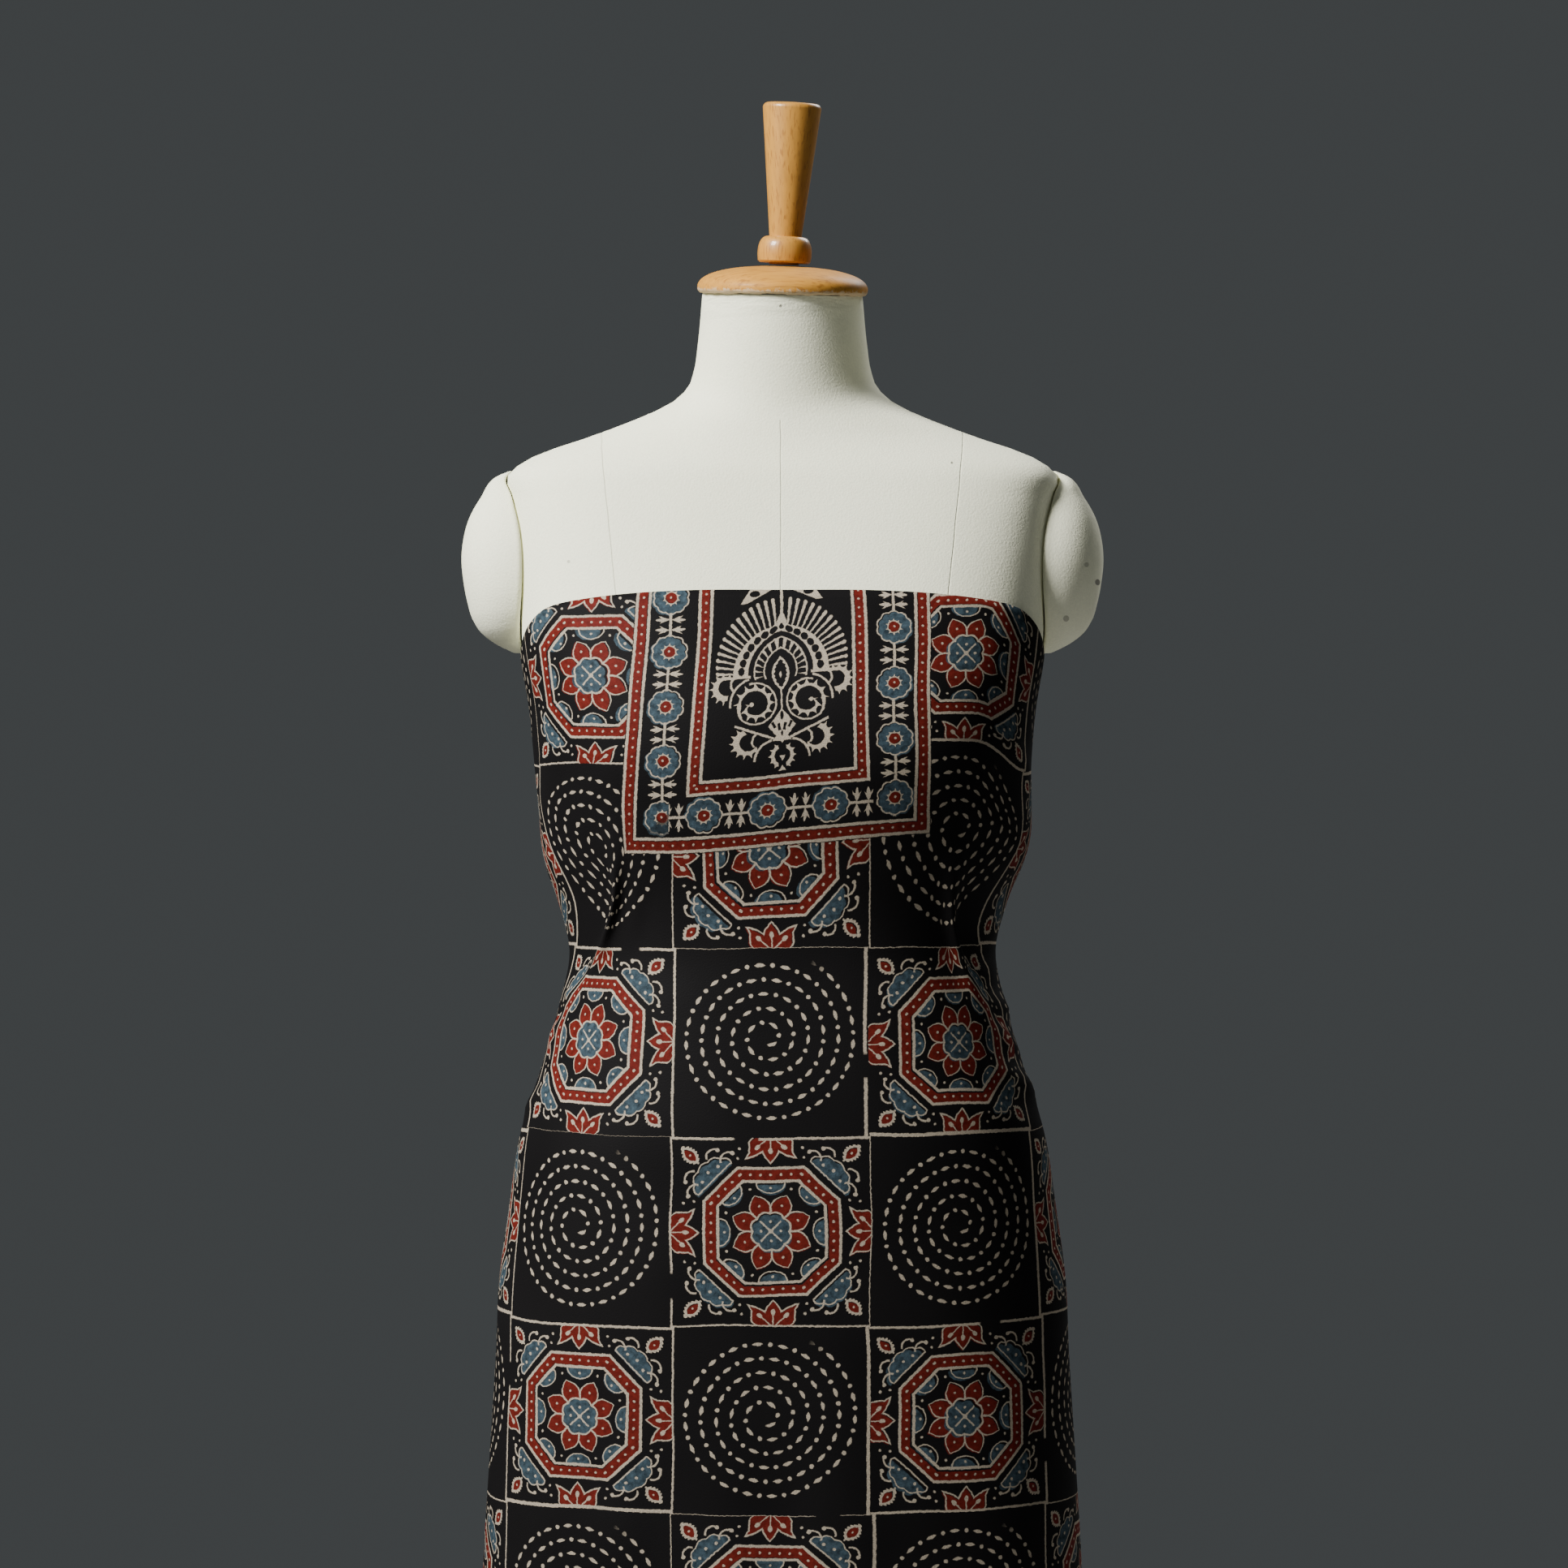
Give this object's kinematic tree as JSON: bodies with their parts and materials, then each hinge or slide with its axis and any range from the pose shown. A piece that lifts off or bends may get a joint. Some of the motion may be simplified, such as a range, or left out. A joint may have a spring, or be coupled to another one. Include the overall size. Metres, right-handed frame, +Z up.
{
  "type": "block-printed cloth wrapped round a dress form",
  "caption": "Length of resist-printed cloth wrapped strapless round a canvas dress form with arm pads, turned neck cap and handle, on a pole and round base.",
  "frame": {"origin": "middle of the round base's underside, on the floor", "axes": "+Z up, the front of the form faces -Y, +X is to the right seen from the front"},
  "size_m": [0.44, 0.44, 1.612],
  "materials": {
    "printed_cloth": "soft satin, resist and mordant print in madder red, indigo and undyed beige on black",
    "canvas": "matt off-white canvas",
    "beech": "varnished",
    "painted_steel": "satin black"
  },
  "bodies": {
    "root": {"ajrakh_cloth": "printed_cloth", "form_torso": "canvas", "arm_pad_left": "canvas", "arm_pad_right": "canvas", "neck_cap": "beech", "handle": "beech", "stand_pole": "painted_steel", "stand_base": "beech"}
  },
  "joints": []
}
